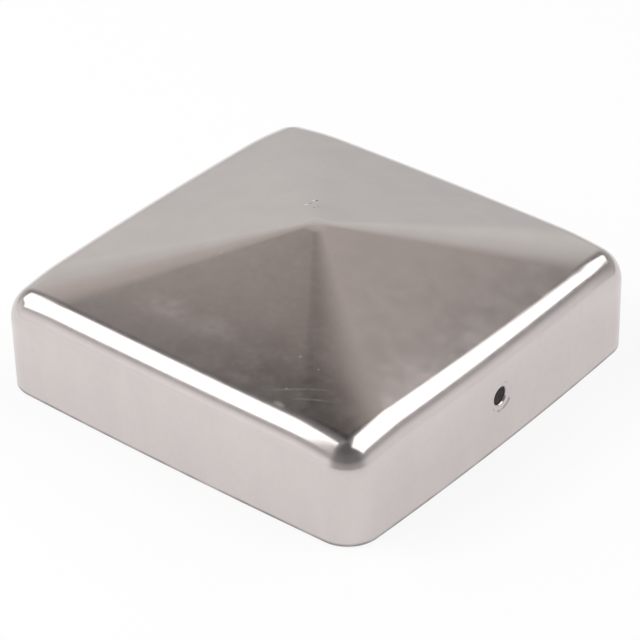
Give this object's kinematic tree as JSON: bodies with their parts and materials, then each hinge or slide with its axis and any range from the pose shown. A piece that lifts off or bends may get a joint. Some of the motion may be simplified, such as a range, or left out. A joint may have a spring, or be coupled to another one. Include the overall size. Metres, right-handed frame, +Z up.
{
  "type": "post cap",
  "caption": "Square pyramid-topped cap of bright stainless sheet with a rounded shoulder and a straight skirt, screwed over the end of a square newel or fence post.",
  "frame": {"origin": "middle of the rim's plane, straight below the point of the roof", "axes": "+Z up through the point; +X and -X face the two sides with screw holes; -Y is the plain side at the left of the picture"},
  "size_m": [0.095, 0.0938, 0.0336],
  "materials": {
    "stainless_steel": "bright, lightly polished sheet with faint haze and fine scratches"
  },
  "bodies": {
    "root": {"post_cap": "stainless_steel"}
  },
  "joints": []
}
